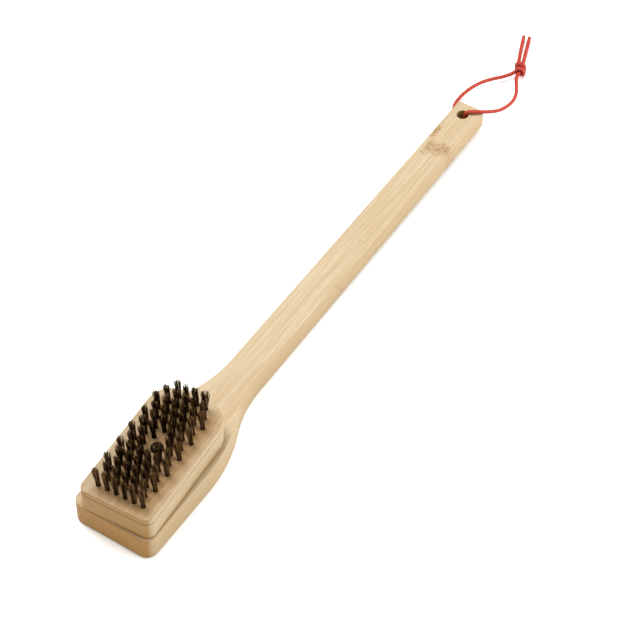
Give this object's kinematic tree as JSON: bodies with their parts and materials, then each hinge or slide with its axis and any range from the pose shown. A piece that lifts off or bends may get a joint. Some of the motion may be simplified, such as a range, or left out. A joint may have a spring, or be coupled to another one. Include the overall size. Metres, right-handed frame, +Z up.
{
  "type": "grill cleaning brush",
  "caption": "Long-handled bamboo grill brush: a flat paddle carries a screwed-on block of staggered dark wire tufts, and a knotted red cord hangs from the handle's end.",
  "frame": {"origin": "under the middle of the board's length, on the surface that the brush lies on with its tufts up", "axes": "+X along the handle from the head to the hanging hole, +Z up out of the tufts"},
  "size_m": [0.5672, 0.064, 0.058],
  "materials": {
    "board_bamboo": "satin sanded bamboo",
    "block_bamboo": "satin sanded bamboo",
    "bristle_wire": "dark oxidised wire",
    "black_screw": "black oxide",
    "red_cord": "smooth round cord, satin"
  },
  "bodies": {
    "board": {"handle_board": "board_bamboo", "cord_upper_run": "red_cord", "cord_lower_run": "red_cord", "cord_tail_left": "red_cord", "cord_tail_right": "red_cord", "cord_knot": "red_cord"},
    "head": {"block_core": "block_bamboo", "block_face_ply": "block_bamboo", "tuft_row_01": "bristle_wire", "tuft_row_02": "bristle_wire", "tuft_row_03": "bristle_wire", "tuft_row_04": "bristle_wire", "tuft_row_05": "bristle_wire", "tuft_row_06_left": "bristle_wire", "tuft_row_06_right": "bristle_wire", "tuft_row_07_left": "bristle_wire", "tuft_row_07_right": "bristle_wire", "tuft_row_08_left": "bristle_wire", "tuft_row_08_right": "bristle_wire", "tuft_row_09": "bristle_wire", "tuft_row_10": "bristle_wire", "tuft_row_11": "bristle_wire", "tuft_row_12": "bristle_wire", "tuft_row_13": "bristle_wire"},
    "screw": {"head_screw": "black_screw"}
  },
  "joints": [
    {"name": "head_lift", "type": "slide", "parent": "board", "child": "head", "axis": [0, 0, 1], "range_m": [0, 0.015]},
    {"name": "screw_turn", "type": "hinge", "parent": "head", "child": "screw", "pos_m": [-0.1749, 0, 0.0425], "axis": [0, 0, 1], "range_deg": [0, 2700]}
  ],
  "couplings": [
    {"joint": "screw_turn", "follows": "head_lift", "rad_per_m": 3141.6}
  ]
}
